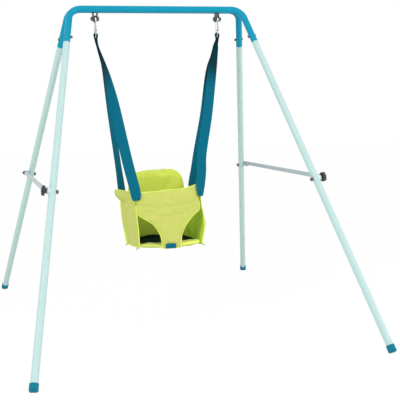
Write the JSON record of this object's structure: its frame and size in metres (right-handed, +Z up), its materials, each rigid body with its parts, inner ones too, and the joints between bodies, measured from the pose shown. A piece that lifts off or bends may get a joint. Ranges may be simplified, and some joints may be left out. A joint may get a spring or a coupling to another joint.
{
  "type": "baby swing",
  "caption": "Folding A-frame baby swing: two tubular hoops hinged at the top, side braces with knobs, and a padded bucket seat on webbing straps.",
  "frame": {"origin": "on the floor, below the middle of the two top tubes", "axes": "+Z up, +X to the sitter's left when facing the front, -Y to the front of the seat"},
  "size_m": [1.2036, 1.5826, 1.2125],
  "materials": {
    "teal_paint": "glossy powder coat",
    "mint_paint": "satin powder coat",
    "foot_plastic": "moulded, satin",
    "zinc_steel": "zinc plated",
    "dark_steel": "dark zinc",
    "black_plastic": "moulded, fine grain",
    "webbing": "woven webbing",
    "webbing_shaded": "woven, dark",
    "seat_fabric": "padded woven cloth",
    "seat_fabric_inside": "padded woven cloth",
    "board_plastic": "plain sheet"
  },
  "bodies": {
    "front_frame": {"front_top_tube": "teal_paint", "left_front_leg": "mint_paint", "right_front_leg": "mint_paint", "left_front_foot": "foot_plastic", "right_front_foot": "foot_plastic", "front_joint_bolts": "zinc_steel", "front_joint_nuts": "zinc_steel", "left_front_hinge_lug": "dark_steel", "right_front_hinge_lug": "dark_steel", "left_hinge_bolt": "dark_steel", "right_hinge_bolt": "dark_steel", "hinge_nuts": "dark_steel", "hinge_washers": "zinc_steel", "left_hanger_bush": "black_plastic", "right_hanger_bush": "black_plastic", "left_knob_bolt": "zinc_steel", "right_knob_bolt": "zinc_steel", "front_brace_spacers": "black_plastic"},
    "rear_frame": {"rear_top_tube": "teal_paint", "left_rear_leg": "mint_paint", "right_rear_leg": "mint_paint", "left_rear_foot": "foot_plastic", "right_rear_foot": "foot_plastic", "rear_joint_bolts": "zinc_steel", "rear_joint_nuts": "zinc_steel", "left_rear_hinge_lug": "dark_steel", "right_rear_hinge_lug": "dark_steel", "left_brace_bolt": "zinc_steel", "right_brace_bolt": "zinc_steel", "brace_nuts": "zinc_steel", "rear_brace_spacers": "black_plastic"},
    "left_brace": {"left_brace": "zinc_steel"},
    "right_brace": {"right_brace": "zinc_steel"},
    "left_knob": {"left_knob": "black_plastic"},
    "right_knob": {"right_knob": "black_plastic"},
    "swing": {"left_snap_hook": "zinc_steel", "right_snap_hook": "zinc_steel", "gate_pins": "dark_steel", "left_strap_loop": "webbing_shaded", "right_strap_loop": "webbing_shaded", "left_front_strap": "webbing", "right_front_strap": "webbing", "left_rear_strap": "webbing", "right_rear_strap": "webbing", "seat_base": "seat_fabric", "seat_board": "board_plastic", "seat_liner": "webbing_shaded", "seat_back": "seat_fabric_inside", "left_side_panel": "seat_fabric", "right_side_panel": "seat_fabric", "left_cuff": "seat_fabric", "right_cuff": "seat_fabric", "front_panel": "seat_fabric", "front_tab": "webbing"},
    "left_gate": {"left_gate": "zinc_steel"},
    "right_gate": {"right_gate": "zinc_steel"}
  },
  "joints": [
    {"name": "frame_fold", "type": "hinge", "parent": "front_frame", "child": "rear_frame", "pos_m": [0, 0, 1.165], "axis": [1, 0, 0], "range_deg": [-65, 0]},
    {"name": "left_brace_swing", "type": "hinge", "parent": "rear_frame", "child": "left_brace", "pos_m": [-0.4702, 0.4234, 0.56], "axis": [0.9846, 0.0945, -0.1474], "range_deg": [0, 120]},
    {"name": "right_brace_swing", "type": "hinge", "parent": "rear_frame", "child": "right_brace", "pos_m": [0.4702, 0.4234, 0.56], "axis": [0.9846, -0.0945, 0.1474], "range_deg": [0, 120]},
    {"name": "left_knob_turn", "type": "hinge", "parent": "front_frame", "child": "left_knob", "pos_m": [-0.4702, -0.4234, 0.56], "axis": [-0.9846, 0.0945, 0.1474], "range_deg": [0, 720]},
    {"name": "right_knob_turn", "type": "hinge", "parent": "front_frame", "child": "right_knob", "pos_m": [0.4702, -0.4234, 0.56], "axis": [0.9846, 0.0945, 0.1474], "range_deg": [0, 720]},
    {"name": "seat_swing", "type": "hinge", "parent": "front_frame", "child": "swing", "pos_m": [0, 0, 1.165], "axis": [1, 0, 0], "range_deg": [-30, 30]},
    {"name": "left_gate_open", "type": "hinge", "parent": "swing", "child": "left_gate", "pos_m": [-0.24, -0.00963, 1.1213], "axis": [1, 0, 0], "range_deg": [-22, 0], "stiffness_Nm_per_rad": 0.06, "springref_deg": 20.05},
    {"name": "right_gate_open", "type": "hinge", "parent": "swing", "child": "right_gate", "pos_m": [0.24, -0.00963, 1.1213], "axis": [1, 0, 0], "range_deg": [-22, 0], "stiffness_Nm_per_rad": 0.06, "springref_deg": 20.05}
  ],
  "couplings": [
    {"joint": "left_brace_swing", "follows": "frame_fold", "ratio": -1.8461},
    {"joint": "right_brace_swing", "follows": "frame_fold", "ratio": -1.8461}
  ]
}
